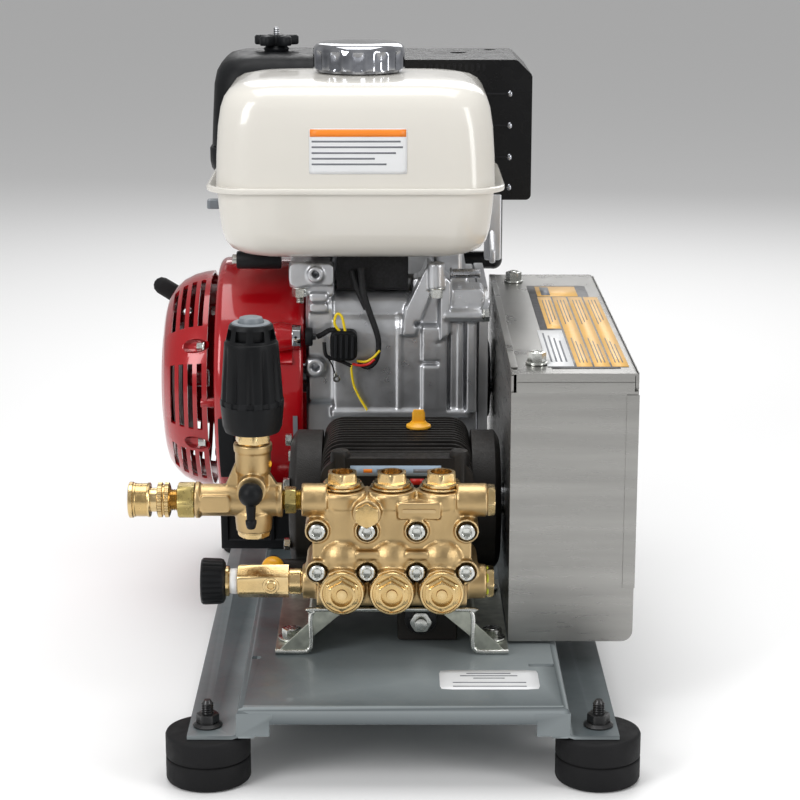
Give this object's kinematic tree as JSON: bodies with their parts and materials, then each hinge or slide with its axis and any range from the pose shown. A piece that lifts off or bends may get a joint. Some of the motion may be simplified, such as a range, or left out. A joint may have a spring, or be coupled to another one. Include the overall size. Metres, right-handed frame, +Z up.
{
  "type": "pressure washer pump",
  "caption": "Belt-driven pressure washer pump unit: brass triplex plunger pump, petrol engine, belt guard and folded steel deck on rubber feet.",
  "frame": {"origin": "under the middle of the bounding box, on the floor the feet stand on", "axes": "+Z up, +Y from the pump end to the engine's cylinder end, +X from the starter and hose connections to the belt guard"},
  "size_m": [0.427, 0.7096, 0.5178],
  "materials": {
    "deck_paint": "glossy slate grey powder coat",
    "rubber": "matte black rubber",
    "zinc": "zinc plated, satin",
    "forged_brass": "forged, satin",
    "bright_brass": "machined, bright",
    "pump_cast": "cast, dark brown-black coating",
    "engine_cast": "die cast, raw",
    "steel": "machined",
    "ceramic": "polished ceramic",
    "yellow_plastic": "yellow moulded plastic",
    "black_plastic": "black moulded plastic",
    "red_paint": "gloss deep red paint",
    "cream_paint": "gloss warm off-white paint",
    "black_paint": "gloss black heat-proof paint",
    "chrome": "bright chrome",
    "stainless": "brushed stainless sheet",
    "grey_plastic": "grey moulded plastic",
    "rope": "black braided starter rope"
  },
  "bodies": {
    "root": {"base_deck": "deck_paint", "pump_bracket": "zinc", "pump_crankcase": "pump_cast", "pump_side_cover": "pump_cast", "pump_bearing_cover": "pump_cast", "pump_manifold": "forged_brass", "outlet_port_plug": "bright_brass", "inlet_port_plug": "bright_brass", "manifold_front_plug": "bright_brass", "outlet_nipple": "bright_brass", "unloader_body": "forged_brass", "outlet_adapter": "bright_brass", "coupler_body": "bright_brass", "inlet_nipple": "bright_brass", "inlet_filter_body": "bright_brass", "engine_crankcase": "engine_cast", "crankcase_side_cover": "engine_cast", "fan_shroud": "red_paint", "shroud_base": "black_plastic", "recoil_cover": "red_paint", "starter_rope": "rope", "fuel_tank": "cream_paint", "air_cleaner_base": "black_plastic", "air_cleaner_cover": "black_plastic", "carburetor": "engine_cast", "muffler": "black_paint", "cylinder_head": "engine_cast", "drive_belt": "rubber", "guard_back_plate": "stainless", "belt_guard": "stainless", "wiring_loom": "black_plastic", "foot_front_left": "rubber", "foot_front_right": "rubber", "foot_rear_left": "rubber", "foot_rear_right": "rubber", "valve_cap_top_left": "bright_brass", "valve_cap_front_left": "bright_brass", "valve_cap_top_middle": "bright_brass", "valve_cap_front_middle": "bright_brass", "valve_cap_top_right": "bright_brass", "valve_cap_front_right": "bright_brass"},
    "engine_rotor": {"engine_crankshaft": "steel", "flywheel_fan": "pump_cast", "engine_pulley": "steel"},
    "pump_rotor": {"pump_crankshaft": "steel", "pump_pulley": "steel"},
    "plunger_left": {"plunger_left": "ceramic"},
    "plunger_middle": {"plunger_middle": "ceramic"},
    "plunger_right": {"plunger_right": "ceramic"},
    "starter_grip": {"starter_handle": "rubber"},
    "recoil_reel": {"recoil_reel": "black_plastic"},
    "fuel_cap": {"fuel_cap": "chrome"},
    "wing_nut": {"wing_nut": "black_plastic"},
    "pump_oil_cap": {"pump_oil_cap": "yellow_plastic"},
    "pressure_knob": {"unloader_knob": "black_plastic"},
    "throttle_lever": {"throttle_lever": "grey_plastic"},
    "engine_switch": {"engine_switch": "chrome"},
    "bypass_elbow": {"bypass_elbow": "black_plastic"},
    "coupler_sleeve": {"coupler_sleeve": "bright_brass"},
    "hose_nut": {"hose_nut": "black_plastic"}
  },
  "joints": [
    {"name": "engine_crank_turn", "type": "hinge", "parent": "root", "child": "engine_rotor", "pos_m": [0.0298, 0.1442, 0.2], "axis": [1, 0, 0], "continuous": true},
    {"name": "pump_crank_turn", "type": "hinge", "parent": "root", "child": "pump_rotor", "pos_m": [0.0213, -0.1088, 0.156], "axis": [1, 0, 0], "continuous": true},
    {"name": "plunger_left_slide", "type": "slide", "parent": "root", "child": "plunger_left", "axis": [0, 1, 0], "range_m": [-0.009, 0.009]},
    {"name": "plunger_middle_slide", "type": "slide", "parent": "root", "child": "plunger_middle", "axis": [0, 1, 0], "range_m": [-0.009, 0.009]},
    {"name": "plunger_right_slide", "type": "slide", "parent": "root", "child": "plunger_right", "axis": [0, 1, 0], "range_m": [-0.009, 0.009]},
    {"name": "starter_pull", "type": "slide", "parent": "root", "child": "starter_grip", "axis": [0, 1, 0], "range_m": [0, 0.6], "stiffness_N_per_m": 15, "springref_m": -0.3},
    {"name": "reel_turn", "type": "hinge", "parent": "root", "child": "recoil_reel", "pos_m": [-0.1762, 0.1442, 0.2], "axis": [1, 0, 0], "range_deg": [-720, 0]},
    {"name": "fuel_cap_turn", "type": "hinge", "parent": "root", "child": "fuel_cap", "pos_m": [-0.0082, 0.1112, 0.5], "axis": [0, 0, 1], "range_deg": [0, 90]},
    {"name": "wing_nut_turn", "type": "hinge", "parent": "root", "child": "wing_nut", "pos_m": [-0.0902, 0.2682, 0.5], "axis": [0, 0, 1], "range_deg": [0, 720]},
    {"name": "oil_cap_turn", "type": "hinge", "parent": "root", "child": "pump_oil_cap", "pos_m": [0.0433, -0.1108, 0.225], "axis": [0, 0, 1], "range_deg": [0, 360]},
    {"name": "pressure_knob_turn", "type": "hinge", "parent": "root", "child": "pressure_knob", "pos_m": [-0.0859, -0.2338, 0.28], "axis": [0, 0, 1], "range_deg": [0, 1080]},
    {"name": "throttle_turn", "type": "hinge", "parent": "root", "child": "throttle_lever", "pos_m": [-0.1202, 0.2182, 0.354], "axis": [0, 0, 1], "range_deg": [0, 25]},
    {"name": "switch_turn", "type": "hinge", "parent": "root", "child": "engine_switch", "pos_m": [-0.0502, 0.0412, 0.262], "axis": [1, 0, 0], "range_deg": [0, 45]},
    {"name": "bypass_swivel", "type": "hinge", "parent": "root", "child": "bypass_elbow", "pos_m": [-0.0859, -0.2638, 0.206], "axis": [0, 1, 0], "range_deg": [-90, 90]},
    {"name": "coupler_sleeve_slide", "type": "slide", "parent": "root", "child": "coupler_sleeve", "axis": [1, 0, 0], "range_m": [0, 0.005], "stiffness_N_per_m": 500, "springref_m": -0.004},
    {"name": "hose_nut_turn", "type": "hinge", "parent": "root", "child": "hose_nut", "pos_m": [-0.1182, -0.2288, 0.124], "axis": [1, 0, 0], "continuous": true}
  ],
  "couplings": [
    {"joint": "pump_crank_turn", "follows": "engine_crank_turn", "ratio": 0.47368},
    {"joint": "reel_turn", "follows": "starter_pull", "rad_per_m": -20}
  ]
}
